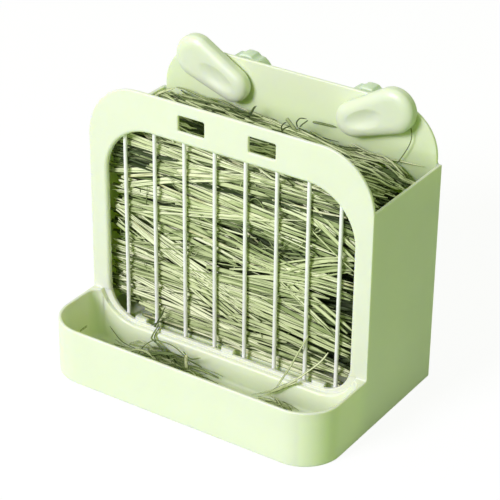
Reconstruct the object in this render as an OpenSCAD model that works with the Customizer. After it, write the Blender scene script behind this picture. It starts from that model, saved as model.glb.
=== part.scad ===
// Hay feeder box for a small animal's cage: a moulded box with a wire grille over its window,
// a trough in front, and two ear shaped knobs that clamp it to the cage wires.
// Millimetres. +Z is up, +Y goes to the back. The origin is on the surface that the box rests on,
// halfway along its width, at the front face of the box.

/* [Box] */
// Outer width of the box and the trough
box_w = 200; // [160:1:260]
// Depth from the front face to the back face
box_d = 78.3; // [60:0.1:120]
// Thickness of the moulded walls
wall = 2.3; // [1.8:0.1:3]
// Height of the front and back panels
box_h = 180; // [150:1:240]
// How far the side walls stop below the panels' tops
side_drop = 33.3; // [25:0.1:60]
// Height of the hay floor's upper face
hay_floor_z = 19.5; // [17:0.1:24]

/* [Front panel] */
// Radius of the front panel's top corners
front_r = 36; // [10:1:50]
// Width of the side strips beside the window
strip_w = 10.3; // [8:0.1:16]
// Height of the strip above the window
top_strip_h = 23.7; // [20:0.1:30]
// Depth of the step along the window's sill
step_d = 1; // [0.5:0.1:1.5]
// Width of the lip inside the step
lip_w = 2; // [1.5:0.1:4]
// Thickness of the lip
lip_t = 2.5; // [1.5:0.1:3.5]
// Radius of the window's top corners, at the step
window_top_r = 35; // [12:1:45]
// Radius of the opening's bottom corners
window_low_r = 21; // [10:1:24]

/* [Slots] */
// Distance between the centres of the two slots
slot_span = 49.4; // [40:0.1:70]
// Width of a slot
slot_w = 18.4; // [10:0.1:24]
// Height of a slot
slot_h = 10; // [6:0.1:12]
// Height of the strip above the slots
slot_drop = 7.8; // [5:0.1:9]
// Radius of a slot's corners
slot_r = 1; // [0.5:0.1:2.5]

/* [Trough] */
// How far the trough stands out in front of the box
trough_d = 52.5; // [35:0.1:80]
// Height of the trough's rim
trough_h = 37; // [30:0.5:60]
// Outer radius of the trough's front corners
trough_r = 25; // [8:1:30]
// Thickness of the trough's floor
trough_floor_t = 2.5; // [2:0.1:4]
// Radius of the trough's back corners
trough_back_r = 8; // [4:1:12]
// Radius of the cove between the trough's floor and its walls
cove_r = 3; // [1:0.5:6]
// Thickness of the ledge at the top of the trough's back wall
ledge_t = 2; // [1.5:0.1:4]
// Height of the ledge below the window
ledge_z = 18.7; // [15:0.1:19]
// Radius with which the ledge rises to the rim at each end
ledge_r = 27; // [18:1:35]
// How far the ledge's curve stays from the outer sides
ledge_inset = 5.8; // [4.5:0.1:8]

/* [Back panel] */
// Radius of the back panel's top corners
back_r = 30; // [10:1:50]
// How far the raised part is set in from the outer sides
back_inset = 2.6; // [2.5:0.1:10]

/* [Grille] */
// Number of upright wires
wire_count = 8; // [4:1:10]
// Distance from the opening's sides to the centres of the outer wires
wire_end_gap = 11.4; // [6:0.1:20]
// Diameter of the wires
wire_dia = 2.5; // [1.5:0.1:3]
// Depth of a weld, where an upright wire meets a cross wire
weld_sink = 0.3; // [0.1:0.05:0.5]
// Height of the upper cross wire above the opening
rail_rise = 3.2; // [2.5:0.1:4.5]

/* [Sill tabs and hooks] */
// Width of a tab behind the sill, and of a hook over the upper cross wire
tab_w = 8.6; // [5:0.1:12]
// Height of a tab above the lip
tab_rise = 2.3; // [1:0.1:4]
// Thickness of a hook
hook_t = 1.8; // [1.2:0.1:2.4]

/* [Ear knobs] */
// Distance of an ear's turning axis from the outer side of the box
ear_inset = 57; // [50:1:65]
// Distance of an ear's turning axis below the back panel's top
ear_drop = 17.5; // [14:0.5:30]
// Length of an ear
ear_l = 55; // [44:1:64]
// Width of an ear at its outer end
ear_w = 28.4; // [24:0.1:34]
// Width of an ear at its inner end
ear_inner_w = 22; // [20:0.1:28]
// Thickness of an ear
ear_t = 9.2; // [8:0.1:12]
// Angle of an ear above the horizontal
ear_tilt = 25; // [0:1:60]
// Distance from an ear's inner end to its axis, along the ear
ear_root = 10.7; // [10:0.1:16]
// How far the axis lies below the ear's middle line
ear_low = 0.9; // [0:0.1:3.5]
// Radius of the hub on the ear's back
hub_r = 6.4; // [6:0.1:7]
// Height of the hub
hub_h = 0.8; // [0.5:0.1:2]

/* [Clamp screws] */
// Diameter of the clamp screws
screw_dia = 8; // [6:0.1:9]
// Distance that the clamp moves in one turn of an ear
screw_lead = 2.5; // [1.5:0.1:3]
// Width across the corners of the screw's head
head_dia = 11.4; // [10.4:0.1:12]
// Thickness of the screw's head
head_t = 2.6; // [2:0.1:3]
// Radius of a clamp disc
disc_r = 16; // [14:0.5:24]
// Thickness of a clamp disc
disc_t = 10; // [4:0.5:12]
// Gap between the back panel and a clamp disc
clamp_gap = 6.4; // [5.6:0.1:14]
// Radius of the sleeve behind a clamp disc
sleeve_r = 8; // [6.5:0.5:11]
// Length of the sleeve
sleeve_l = 2; // [1:0.5:8]
// Number of flutes around a clamp disc
flute_count = 8; // [6:1:14]
// Radius of a flute
flute_r = 4.2; // [2:0.1:6]
// Depth of a flute
flute_d = 0.9; // [0.5:0.1:2]

/* [Clearances] */
// Gap between pieces that move past each other
run_gap = 0.3; // [0.2:0.05:0.5]
// Radial clearance of a screw in its hole
bore_gap = 0.05; // [0.02:0.01:0.1]
// Gap between the grille and the moulding that holds it
wire_gap = 0.05; // [0.02:0.01:0.2]

/* [Hidden] */
$fn = 64;

lime = "#dceabf";
steel = "#e2e5e8";
cream = "#d3e2b4";

// Cuts run this far past the faces that they open
over = 1;
// Joined shapes overlap by this much
join = 0.01;

// Half widths and heights of the window, at the step and at the opening
half_w = box_w / 2;
inner_half_w = half_w - wall;
step_half_w = half_w - strip_w;
ledge_half_w = half_w - ledge_inset;
step_top_z = box_h - top_strip_h;
open_half_w = step_half_w - lip_w;
open_low_z = ledge_z + lip_w;
open_top_z = step_top_z - lip_w;
lip_back_y = step_d + lip_t;

// Heights and planes of the walls
side_h = box_h - side_drop;
slot_z = box_h - slot_drop - slot_h;
trough_back_y = -ledge_t;
trough_front_y = -(trough_d - wall);
back_front_y = box_d - wall;

// Places of the grille's wires and of the channel that its lower end stands in
wire_r = wire_dia / 2;
wire_y = lip_back_y + wire_gap + wire_r;
rail_y = wire_y + wire_dia - weld_sink;
channel_back_y = rail_y + wire_r + 5 * wire_gap;
channel_z = hay_floor_z - 5.7;
bottom_rail_z = channel_z + wire_r + wire_gap;
top_rail_z = open_top_z + rail_rise;
wire_top_z = top_rail_z + wire_r + wire_gap;
wire_pitch = 2 * (open_half_w - wire_end_gap) / (wire_count - 1);
rail_over = 3.5;
rail_l = (wire_count - 1) * wire_pitch + wire_dia + 2 * rail_over;

// The tabs and hooks stand midway between two wires, in the end gaps and the middle one
TAB_GAPS = [1, round(wire_count / 2), wire_count - 1];
tab_t = 2;

// Hooks over the upper cross wire
hook_y = rail_y + wire_r + run_gap;
hook_z = wire_top_z + run_gap;
hook_drop = hook_z + hook_t - top_rail_z + wire_r;

// Places of the ear knobs and the clamp discs
ear_x = half_w - ear_inset;
ear_z = box_h - ear_drop;
ear_back_y = back_front_y - run_gap - hub_h;
disc_y = box_d + clamp_gap;
screw_end_y = disc_y + disc_t + sleeve_l + screw_lead + 1.7;
head_back = 2.2;
head_y = ear_back_y - head_t - head_back;
chamfer = 1;

// How an ear's outline is drawn in, from its back face to its front, as [share of thickness, inset]
EAR_RINGS = [[0, 1.2], [0.09, 0.3], [0.18, 0], [0.5, 0], [0.66, 0.35], [0.8, 1.4], [0.91, 3], [0.98, 4.9], [1, 7]];
// Steps round each end of an ear's outline, and where the straight sides between the ends face,
// as an angle from the outer end's direction
ear_steps = 24;
ear_side_turn = acos((ear_inner_w - ear_w) / (2 * ear_l - ear_w - ear_inner_w));
// The dished oval on an ear's front
dish_l = 27;
dish_w = 12.6;
dish_depth = 1.8;
dish_back = 5.9;
dish_low = 0.8;
dish_steps = 28;

// Middle of the gap between wire i and the next one
function gap_x(i) = (i - wire_count / 2) * wire_pitch;

// An upright rectangle about the middle plane, with its lower and upper corners rounded
module round_panel(half, z0, z1, low_r, top_r) {
    translate([-half, z0 + low_r]) square([2 * half, z1 - z0 - low_r - top_r]);
    if (low_r > 0) {
        translate([-(half - low_r), z0]) square([2 * (half - low_r), low_r + join]);
        for (s = [-1, 1]) translate([s * (half - low_r), z0 + low_r]) circle(low_r);
    }
    if (top_r > 0) {
        translate([-(half - top_r), z1 - top_r - join]) square([2 * (half - top_r), top_r + join]);
        for (s = [-1, 1]) translate([s * (half - top_r), z1 - top_r]) circle(top_r);
    }
}

// A drawing in X and Z, made a plate that starts at y0
module plate(y0, t) {
    translate([0, y0 + t, 0]) rotate([90, 0, 0]) linear_extrude(t) children();
}

// A round bar along Y
module bar_y(r, y0, y1) {
    translate([0, y1, 0]) rotate([90, 0, 0]) cylinder(r = r, h = y1 - y0);
}

// The stepped edge of the window: narrower above the trough's rim, wider where the ledge curves up
module step_outline(grow) {
    round_panel(step_half_w + grow, ledge_z - grow, step_top_z + grow, ledge_r + grow, window_top_r + grow);
    ledge_outline(grow);
}

module ledge_outline(grow) {
    intersection() {
        round_panel(ledge_half_w + grow, ledge_z - grow, ledge_z + 3 * ledge_r, ledge_r + grow, 0);
        translate([-half_w, 0]) square([box_w, trough_h + grow]);
    }
}

// The step shows only along the sill: higher up the panel's face runs to the opening
module sill_step_outline() {
    intersection() {
        step_outline(0);
        translate([-half_w, 0]) square([box_w, trough_h]);
    }
}

module opening_outline() {
    round_panel(open_half_w, open_low_z, open_top_z, window_low_r, window_top_r - lip_w);
}

module front_panel() {
    difference() {
        union() {
            plate(0, wall) round_panel(half_w, 0, box_h, 0, front_r);
            plate(step_d, lip_t) step_outline(lip_w);
        }
        plate(-over, step_d + over) sill_step_outline();
        plate(-over, lip_back_y + 2 * over) opening_outline();
        for (s = [-1, 1])
            translate([s * slot_span / 2, 0, 0])
                plate(-over, wall + 2 * over)
                    round_panel(slot_w / 2, slot_z, slot_z + slot_h, slot_r, slot_r);
    }
}

module side_walls() {
    for (s = [-1, 1])
        translate([s * (half_w - wall / 2) - wall / 2, 0, 0]) cube([wall, box_d, side_h]);
}

module back_panel() {
    difference() {
        union() {
            translate([-half_w, back_front_y, 0]) cube([box_w, wall, side_h]);
            plate(back_front_y, wall) round_panel(half_w - back_inset, 0, box_h, 0, back_r);
        }
        for (s = [-1, 1])
            translate([s * ear_x, 0, ear_z])
                bar_y(screw_dia / 2 + bore_gap, back_front_y - over, box_d + over);
    }
}

// The floor under the hay, with the channel in its front edge that the grille stands in
module hay_floor() {
    translate([-half_w + wall / 2, channel_back_y, hay_floor_z - wall])
        cube([box_w - wall, box_d - channel_back_y - wall / 2, wall]);
    translate([-half_w + wall / 2, channel_back_y, channel_z - wall])
        cube([box_w - wall, wall, hay_floor_z - channel_z + wall]);
    translate([-half_w + wall / 2, wall / 2, channel_z - wall])
        cube([box_w - wall, channel_back_y, wall]);
}

// Three tabs behind the sill keep the lower cross wire back
module sill_tabs() {
    for (g = TAB_GAPS)
        translate([gap_x(g) - tab_w / 2, lip_back_y - wire_r, channel_z - wall / 2])
            cube([tab_w, wire_r + tab_t, open_low_z + tab_rise - channel_z + wall / 2]);
}

// Three hooks behind the top strip hold the upper cross wire against the panel
module rail_hooks() {
    for (g = TAB_GAPS)
        translate([gap_x(g) - tab_w / 2, 0, hook_z]) {
            translate([0, wall / 2, 0]) cube([tab_w, hook_y + hook_t - wall / 2, hook_t]);
            translate([0, hook_y, hook_t - hook_drop]) cube([tab_w, hook_t, hook_drop]);
        }
}

// The trough from above, drawn in by inset, from its front to y1, with its back corners rounded
module trough_plan(inset, y1, back_corner_r) {
    half = half_w - inset;
    front_y = inset - trough_d;
    r = trough_r - inset;
    translate([-(half - r), front_y]) square([2 * (half - r), r + join]);
    for (s = [-1, 1]) translate([s * (half - r), front_y + r]) circle(r);
    translate([-half, front_y + r]) square([2 * half, y1 - front_y - r - back_corner_r]);
    if (back_corner_r > 0) {
        translate([-(half - back_corner_r), y1 - back_corner_r - join])
            square([2 * (half - back_corner_r), back_corner_r + join]);
        for (s = [-1, 1]) translate([s * (half - back_corner_r), y1 - back_corner_r]) circle(back_corner_r);
    }
}

// The hollow quarter round that eases a wall into the floor, drawn with its corner at the origin
module cove_profile() {
    difference() {
        translate([-wall / 2, -wall / 2]) square(cove_r + wall / 2);
        translate([cove_r, cove_r]) circle(cove_r);
    }
}

// A straight cove of length l that starts at the origin and runs along +Y, its wall on the -X side
module cove_run(l) {
    translate([0, l, 0]) rotate([90, 0, 0]) linear_extrude(l) cove_profile();
}

// A cove round an inner corner of radius r, from the -X side to the -Y side
module cove_corner(r) {
    rotate([0, 0, 180]) rotate_extrude(angle = 90) translate([r, 0]) mirror([1, 0]) cove_profile();
}

module trough_coves() {
    half = inner_half_w;
    front_r_in = trough_r - wall;
    for (s = [0, 1])
        mirror([s, 0, 0]) translate([0, 0, trough_floor_t]) {
            translate([-half, trough_front_y + front_r_in, 0])
                cove_run(trough_back_y - trough_back_r - trough_front_y - front_r_in);
            translate([-half + front_r_in, trough_front_y + front_r_in, 0]) cove_corner(front_r_in);
            translate([-half + trough_back_r, trough_back_y - trough_back_r, 0])
                rotate([0, 0, -90]) cove_corner(trough_back_r);
        }
    translate([half - front_r_in, trough_front_y, trough_floor_t])
        rotate([0, 0, 90]) cove_run(2 * (half - front_r_in));
    translate([-half + trough_back_r, trough_back_y, trough_floor_t])
        rotate([0, 0, -90]) cove_run(2 * (half - trough_back_r));
}

module trough() {
    difference() {
        linear_extrude(trough_h) trough_plan(0, 0, 0);
        translate([0, 0, trough_floor_t])
            linear_extrude(trough_h) trough_plan(wall, trough_back_y, trough_back_r);
        plate(-ledge_t - over, ledge_t + 2 * over) ledge_outline(0);
    }
    trough_coves();
}

module feeder_body() {
    color(lime) {
        front_panel();
        side_walls();
        back_panel();
        hay_floor();
        sill_tabs();
        rail_hooks();
        trough();
    }
}

module grille_wire(i) {
    x = (i - (wire_count + 1) / 2) * wire_pitch;
    color(steel) translate([x, wire_y, channel_z]) cylinder(r = wire_r, h = wire_top_z - channel_z);
}

module grille_rail(z) {
    color(steel) translate([-rail_l / 2, rail_y, z]) rotate([0, 90, 0]) cylinder(r = wire_r, h = rail_l);
}

// Points round one end of an ear, with its middle at x, drawn in by inset at a depth from the back face
function ear_end(x, r, from, to, inset, depth) = [
    for (k = [0:ear_steps])
        let (turn = from + (to - from) * k / ear_steps)
        [x + (r - inset) * cos(turn), ear_back_y - depth, (r - inset) * sin(turn)]];

// Outline of a right ear about its own middle: a large round at its outer end, at +X, a smaller one
// at its inner end, and straight sides between them
function ear_ring(inset, depth) = concat(
    ear_end((ear_l - ear_w) / 2, ear_w / 2, -ear_side_turn, ear_side_turn, inset, depth),
    ear_end((ear_inner_w - ear_l) / 2, ear_inner_w / 2, ear_side_turn, 360 - ear_side_turn, inset, depth));

module ear_puff() {
    around = 2 * (ear_steps + 1);
    last = (len(EAR_RINGS) - 1) * around;
    sides = [for (i = [0:len(EAR_RINGS) - 2], k = [0:around - 1])
        let (a = i * around + k, b = i * around + (k + 1) % around)
        [a, a + around, b + around, b]];
    back = [for (k = [0:around - 1]) k];
    front = [for (k = [around - 1:-1:0]) last + k];
    polyhedron([for (e = EAR_RINGS) each ear_ring(e[1], e[0] * ear_t)], concat([back], sides, [front]));
}

module ear_dish() {
    translate([-dish_back, ear_back_y - ear_t, -dish_low])
        hull() scale([dish_l, 2 * dish_depth, dish_w]) sphere(d = 1, $fn = dish_steps);
}

// side is 1 on the right and -1 on the left
module ear_knob(side) {
    color(cream)
        mirror([side < 0 ? 1 : 0, 0, 0])
            translate([ear_x, 0, ear_z])
                difference() {
                    union() {
                        rotate([0, -ear_tilt, 0]) translate([ear_l / 2 - ear_root, 0, ear_low])
                            difference() {
                                ear_puff();
                                ear_dish();
                            }
                        bar_y(hub_r, ear_back_y - 1, ear_back_y + hub_h);
                    }
                    bar_y(screw_dia / 2 + bore_gap, head_y, ear_back_y + hub_h + over);
                    translate([0, head_y - bore_gap, 0]) screw_head(head_dia + 2 * bore_gap, head_t + 2 * bore_gap);
                }
}

// The six sided head that is moulded into the ear, from y = 0 to the back
module screw_head(d, t) {
    translate([0, t, 0]) rotate([90, 0, 0]) cylinder(d = d, h = t, $fn = 6);
}

module clamp_screw(side) {
    color(cream)
        translate([side * ear_x, 0, ear_z])
            union() {
                translate([0, head_y, 0]) screw_head(head_dia, head_t);
                bar_y(screw_dia / 2, head_y + head_t / 2, screw_end_y);
            }
}

// Half section of a clamp disc and its sleeve, with the bore left open
module disc_section() {
    polygon([
        [screw_dia / 2 + bore_gap, 0],
        [disc_r - chamfer, 0],
        [disc_r, chamfer],
        [disc_r, disc_t - chamfer],
        [disc_r - chamfer, disc_t],
        [sleeve_r, disc_t],
        [sleeve_r, disc_t + sleeve_l],
        [screw_dia / 2 + bore_gap, disc_t + sleeve_l]]);
}

module clamp_disc(side) {
    color(cream)
        translate([side * ear_x, disc_y, ear_z])
            rotate([-90, 0, 0])
                difference() {
                    rotate_extrude() disc_section();
                    for (k = [0:flute_count - 1])
                        rotate([0, 0, (k + 0.5) * 360 / flute_count])
                            translate([disc_r + flute_r - flute_d, 0, -over])
                                cylinder(r = flute_r, h = disc_t + 2 * over);
                }
}

feeder_body();
for (i = [1:wire_count])
    grille_wire(i);
grille_rail(top_rail_z);  // grille_top_rail
grille_rail(bottom_rail_z);  // grille_bottom_rail
ear_knob(-1);  // ear_knob_left
ear_knob(1);  // ear_knob_right
clamp_screw(-1);  // clamp_screw_left
clamp_screw(1);  // clamp_screw_right
clamp_disc(-1);  // clamp_disc_left
clamp_disc(1);  // clamp_disc_right
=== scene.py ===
import math

import bmesh
import bpy
import numpy as np
from mathutils import Matrix, Vector


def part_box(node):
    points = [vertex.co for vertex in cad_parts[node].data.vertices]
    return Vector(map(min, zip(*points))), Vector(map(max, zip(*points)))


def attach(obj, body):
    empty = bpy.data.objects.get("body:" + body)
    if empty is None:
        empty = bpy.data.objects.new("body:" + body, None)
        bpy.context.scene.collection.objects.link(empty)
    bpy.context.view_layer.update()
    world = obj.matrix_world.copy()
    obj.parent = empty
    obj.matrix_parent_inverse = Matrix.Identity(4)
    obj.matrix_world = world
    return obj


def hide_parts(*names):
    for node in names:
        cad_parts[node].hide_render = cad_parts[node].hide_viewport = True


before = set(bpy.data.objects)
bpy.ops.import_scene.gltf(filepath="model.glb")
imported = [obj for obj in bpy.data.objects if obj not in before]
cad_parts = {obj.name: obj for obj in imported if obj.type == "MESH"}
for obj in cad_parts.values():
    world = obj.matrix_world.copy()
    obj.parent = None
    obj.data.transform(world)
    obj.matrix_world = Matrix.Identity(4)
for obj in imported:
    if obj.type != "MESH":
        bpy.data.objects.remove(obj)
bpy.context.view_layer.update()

# Lengths are in millimetres here, and meshes are scaled to metres when they are made
MM = 0.001


def box_mm(node):
    """The lowest and highest corners of a node of the frame, in millimetres."""
    low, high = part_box(node)
    return np.array(low) / MM, np.array(high) / MM


def middle(node):
    low, high = box_mm(node)
    return (low + high) / 2


# Camera: the view of the photograph, with angles in degrees
CAMERA_AZIMUTH = 33.346
CAMERA_ELEVATION = 28.95
CAMERA_ROLL = 0.647
CAMERA_AIM = (0, 40, 90)
CAMERA_SLIDE = (-7.429, -12.823)
CAMERA_DISTANCE = 1195.112
CAMERA_LENS = 141.27
CAMERA_SENSOR = 36
CAMERA_CLIP = 10

# Colours, linear: each plastic has its clear tone and a deeper one that clouds it
LIME = (0.815, 0.862, 0.680)
LIME_DEEP = (0.795, 0.845, 0.650)
# Painted bounce light: a greener tone on the hay box's inner faces and a brighter one on the trough's
LIME_PAINTED_BOUNCE_BOX = (0.760, 0.900, 0.520)
LIME_PAINTED_BOUNCE_TROUGH = (0.840, 0.915, 0.660)
EAR_LIME = (0.785, 0.860, 0.630)
EAR_LIME_DEEP = (0.760, 0.840, 0.600)
CLAMP_LIME = (0.720, 0.850, 0.610)
CLAMP_LIME_DEEP = (0.695, 0.825, 0.580)
STEEL = (0.97, 0.97, 0.95)
STEEL_DULL = (0.90, 0.90, 0.88)
WHITE = (1.0, 1.0, 1.0)
FLOOR_TINT = (0.54, 0.74, 0.35)
WORLD_TINT = (0.76, 1.0, 0.30)

# The studio, in metres and watts: each lamp's name, place, size, power and colour
LAMPS = [
    ("key", (-0.98, -2.76, 1.72), 1.25, 96.0, (1.06, 0.975, 1.27)),
    ("top", (-0.2, 0.2, 1.7), 1.0, 4.5, (0.96, 0.98, 1.15)),
]
LAMP_AIM = (0, 0.02, 0.09)
WORLD_STRENGTH = 0.30
FLOOR_REACH = 6.0
FLOOR_GLOW = 1.03
FLOOR_GLOW_SHARE = 0.9

# Painted bounce light on the inner faces, for light bounced between hay and walls: where it sets in and
# where it is full: across, front, back and top
HAY_BOX_PAINTED_BOUNCE = [("across", 98.5, 97.5), ("Y", 3, 6), ("Y", 78, 77), ("Z", 198, 148)]
TROUGH_PAINTED_BOUNCE = [("across", 98.5, 97.5), ("Y", -50.8, -49.8), ("Y", 0, -1.2), ("Z", 36.2, 30)]

# The plastic's surface: how fine its clouds, changes of gloss, mould grain and slow waves are
CLOUD_SCALE = 28
GLOSS_SCALE = 90
GRAIN_SCALE = 2600
WAVE_SCALE = 45
GRAIN_HEIGHT = 0.02
WAVE_HEIGHT = 0.1

# Rounding of the moulding's edges
WINDOW_ROUND = 2.2
BEAD_ROUND = 1.7
BEAD_END_ROUND = 0.45
# The bead's rounding fades between these heights, where it climbs into the trough's corners
BEAD_FADE_Z = (21, 30)
RIM_ROUND = 0.95
BASE_ROUND = 1.1
EDGE_ROUND = 0.6
TAB_ROUND = 0.35
SILL_CORNER_ROUND = 0.2
ROUND_SEGMENTS = 4

# The body's places that decide how an edge is rounded
WALL = 2.3
RIM_Z = 37
SILL_Z = 18.7
BEAD_Y = -2
LIP_BACK_Y = 3.5
SIDE_TOP_Z = 146.7
WINDOW_HALF = 87.7
WINDOW_TOP_Z = 154.3
WINDOW_MARGIN = 0.5
HALF_WIDTH = 100
# The tabs behind the sill and the hooks behind the top strip
TABS_Y = (2.1, 12)
TABS_TOP_Z = 24
HOOKS_Z = (155, 162)
# Just inside the inner faces of the front, back and side walls
WALLS_INSIDE = (3, 75, 97)
# How near an edge must be to a place to count as there
NEAR = 0.1

# Faces of the moulding
JOIN_WITHIN = 0.002
CUT_WITHIN = 0.001
CUT_TRIES = 61
FLAT_ANGLE = 0.4
SHARP_ANGLE = 40
FLAT_FACE_WEIGHT = 100
# The step where the front panel's curve begins: its distances from the middle, and its height's play
STEP_X = (99.7, 99.95)
STEP_Z_PLAY = 0.01
# No flat face may run right round a hole: cuts by axis, place, play and the least Y of the faces they cut
FACE_CUTS = [(0, 0, 3, None), (2, 90, 5, None), (2, 167.2, 2, None), (1, 40, 5, None), (1, -26, 5, None)]
SCREW_CUT_PLAY = 2
SCREW_CUT_BEHIND = 70

# Ears, in their own plane: along the ear and across it, with the outer end at plus
EAR_LENGTH = 54.95
EAR_WIDTH = 28.3
EAR_INNER_WIDTH = 21.9
EAR_TILT = 25
EAR_ROOT = 10.7
EAR_LOW = 0.9
# Points from an ear's outer tip to its inner one: on the large round, the straight side, the small round
EAR_STEPS = (30, 27, 24)
# Depths from an ear's back at which its straight side begins and ends
EAR_WIDEST = 1.7
EAR_SIDE = 4.6
EAR_BACK_INSET = 1.2
EAR_SHOULDER = 7
# Rings of an ear: insets on its flat back, steps round its back edge and its shoulder, rings on its front
EAR_BACK_RINGS = (14.0, 10.0, 6.0, 3.0)
EAR_BACK_STEPS = 8
EAR_SHOULDER_STEPS = 36
EAR_FRONT_RINGS = 12
EAR_FRONT_SHARES = (0.08, 0.97)
# Two rings this far inside the straight side hold it straight
EAR_SIDE_HOLD = 0.9
DISH_AT = (-5.9, -0.8)
DISH_SIZE = (13.6, 6.4)
DISH_DEPTH = 1.7
# How softly the dish ends at its upper and its lower edge, and where across it that changes
DISH_FADE = (1.1, 1.8)
DISH_FADE_ACROSS = (0.4, -0.6)
HUB_RADIUS = 6.4
HUB_BORE = 4.2
HUB_LENGTH = 0.8
HUB_CHAMFER = 0.3
HUB_SUNK = 2
HUB_FLOOR = 0.1
HUB_SIDES = 64
# A closed end shrinks to this radius and not to a point
TIP_RADIUS = 0.02

# Clamp discs: the grooves are radius and depth from the bore outwards, and from the rim to the sleeve
DISC_THICK = 10
DISC_BORE = 4.05
DISC_ROUND = 1.1
DISC_ROUND_STEPS = 6
FRONT_GROOVE = [(6, 0), (6.4, 0.3), (12.0, 0.3), (12.6, 0)]
BACK_GROOVE = [(12.6, 0), (12.1, 0.4), (9.2, 0.4), (8.6, 0.1)]
SLEEVE_RADIUS = 8
SLEEVE_CHAMFER = 0.5
FLUTES = 8
FLUTE_RADIUS = 4.2
FLUTE_DEPTH = 0.9
FLUTE_STEPS = 32
# How sharply a flute meets the rim, and how far in from the rim it still shows
FLUTE_SHARPNESS = 4
FLUTE_REACH = 3

# Clamp screws
SCREW_RADIUS = 4.0
SCREW_SIDES = 48
SCREW_CHAMFER = 0.7
THREAD_PITCH = 2.5
THREAD_DEPTH = 0.62
THREAD_STEPS = 14
THREAD_START_Y = 76.4
THREAD_RUN_IN = 1.0
THREAD_RUN_OUT = 1.6
# The crest's height over its flat top, before it is cut off at 1, and the fall of its flanks
THREAD_CREST = 2.2
THREAD_FLANK = 7
HEAD_THICK = 2.6
HEAD_RADIUS = 5.7
HEAD_SIDES = 6
HEAD_CHAMFER = 0.4

# The grille's wires
WIRE_SIDES = 24
WIRE_STEPS = 90
WIRE_END_STEPS = 6
WIRE_LEAN = 0.05
WIRE_SEED = 20
RAIL_SEED = 40
WELD_SWELL = 0.16
WELD_SPREAD = 0.9
WELD_STEPS = (-1.6, -0.9, -0.4, 0, 0.4, 0.9, 1.6)

WIRES = [f"grille_wire_{i}" for i in range(1, 9)]
RAILS = ["grille_top_rail", "grille_bottom_rail"]


class Graph:
    """A material's nodes, added and linked by short calls."""

    def __init__(self, name):
        self.material = bpy.data.materials.new(name)
        self.material.use_nodes = True
        self.tree = self.material.node_tree
        self.shader = self.tree.nodes["Principled BSDF"]
        self.output = self.tree.nodes["Material Output"]

    def put(self, socket, value):
        if isinstance(value, bpy.types.NodeSocket):
            self.tree.links.new(value, socket)
        else:
            socket.default_value = value

    def add(self, kind, inputs=None, **settings):
        node = self.tree.nodes.new(kind)
        for key, value in settings.items():
            setattr(node, key, value)
        for key, value in (inputs or {}).items():
            self.put(node.inputs[key], value)
        return node

    def shade(self, **values):
        for key, value in values.items():
            self.put(self.shader.inputs[key.replace("_", " ")], value)

    def ramp(self, factor, stops):
        node = self.add("ShaderNodeValToRGB", {"Fac": factor})
        points = node.color_ramp.elements
        while len(points) < len(stops):
            points.new(0.5)
        for point, (place, colour) in zip(points, stops):
            point.position = place
            point.color = (*colour, 1)
        return node.outputs["Color"]

    def math(self, operation, a, b=0.0):
        return self.add("ShaderNodeMath", {0: a, 1: b}, operation=operation).outputs[0]

    def noise(self, vector, scale, detail=2.0, roughness=0.5):
        settings = {"Vector": vector, "Scale": scale, "Detail": detail, "Roughness": roughness}
        return self.add("ShaderNodeTexNoise", settings).outputs["Fac"]

    def spread(self, value, low, high):
        ends = {"Value": value, "To Min": low, "To Max": high}
        return self.add("ShaderNodeMapRange", ends).outputs["Result"]

    def bump(self, height, strength, distance):
        ends = {"Height": height, "Strength": strength, "Distance": distance}
        self.shade(Normal=self.add("ShaderNodeBump", ends).outputs["Normal"])


def moulded_plastic(name, colour, deep, roughness, painted_bounce=()):
    """Satin moulded plastic: a faint cloudy tone, a fine mould grain, slow changes of gloss, and painted
    bounce light in the regions given.
    """
    g = Graph(name)
    place = g.add("ShaderNodeTexCoord").outputs["Object"]
    cloud = g.noise(place, CLOUD_SCALE, 3)
    gloss = g.spread(g.noise(place, GLOSS_SCALE, 2), roughness - 0.05, roughness + 0.07)
    tone = g.ramp(cloud, [(0.3, deep), (0.65, colour)])
    # Painted bounce light: each given region is mixed towards its tone
    for limits, tint in painted_bounce:
        blend = g.add("ShaderNodeMix", data_type="RGBA")
        g.put(blend.inputs[0], share_within(g, place, limits))
        g.put(blend.inputs[6], tone)
        g.put(blend.inputs[7], (*tint, 1))
        tone = blend.outputs[2]
    g.shade(Base_Color=tone, Roughness=gloss)
    grain = g.math("MULTIPLY", g.noise(place, GRAIN_SCALE, 2, 0.6), GRAIN_HEIGHT)
    waves = g.math("MULTIPLY", g.noise(place, WAVE_SCALE, 1), WAVE_HEIGHT)
    g.bump(g.math("ADD", grain, waves), 0.25, 0.0004)
    g.shade(Specular_IOR_Level=0.5, IOR=1.48)
    g.shade(Subsurface_Weight=0.5, Subsurface_Scale=0.004, Subsurface_Radius=(1.0, 1.1, 0.25))
    return g.material


def share_within(g, place, limits):
    """1 on the faces within all the limits, and 0 outside them."""
    at = g.add("ShaderNodeSeparateXYZ", {"Vector": place}).outputs
    values = {"across": g.math("ABSOLUTE", at["X"]), "Y": at["Y"], "Z": at["Z"]}
    share = 1.0
    for axis, none, full in limits:
        ends = {"Value": values[axis], "From Min": none * MM, "From Max": full * MM}
        share = g.math("MULTIPLY", g.add("ShaderNodeMapRange", ends).outputs["Result"], share)
    return share


def bright_wire(name):
    """Zinc plated wire: bright metal with drawn lines along it and a few duller patches."""
    g = Graph(name)
    place = g.add("ShaderNodeTexCoord").outputs["Object"]
    drawn = g.add("ShaderNodeMapping", {"Vector": place, "Scale": (3000, 3000, 60)})
    lines = g.noise(drawn.outputs["Vector"], 1, 2)
    patches = g.noise(place, 120, 3)
    tone = g.ramp(patches, [(0.25, STEEL_DULL), (0.6, STEEL)])
    rough = g.math("ADD", g.spread(patches, 0.42, 0.30), g.spread(lines, 0, 0.08))
    g.shade(Base_Color=tone, Metallic=0.12, Roughness=rough)
    g.bump(lines, 0.2, 0.00005)
    return g.material


# Hay: the map's lanes, each of which is one look of a stalk, lie side by side across it
HAY_MAP = "OFBake"
HAY_LANES = 40
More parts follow.
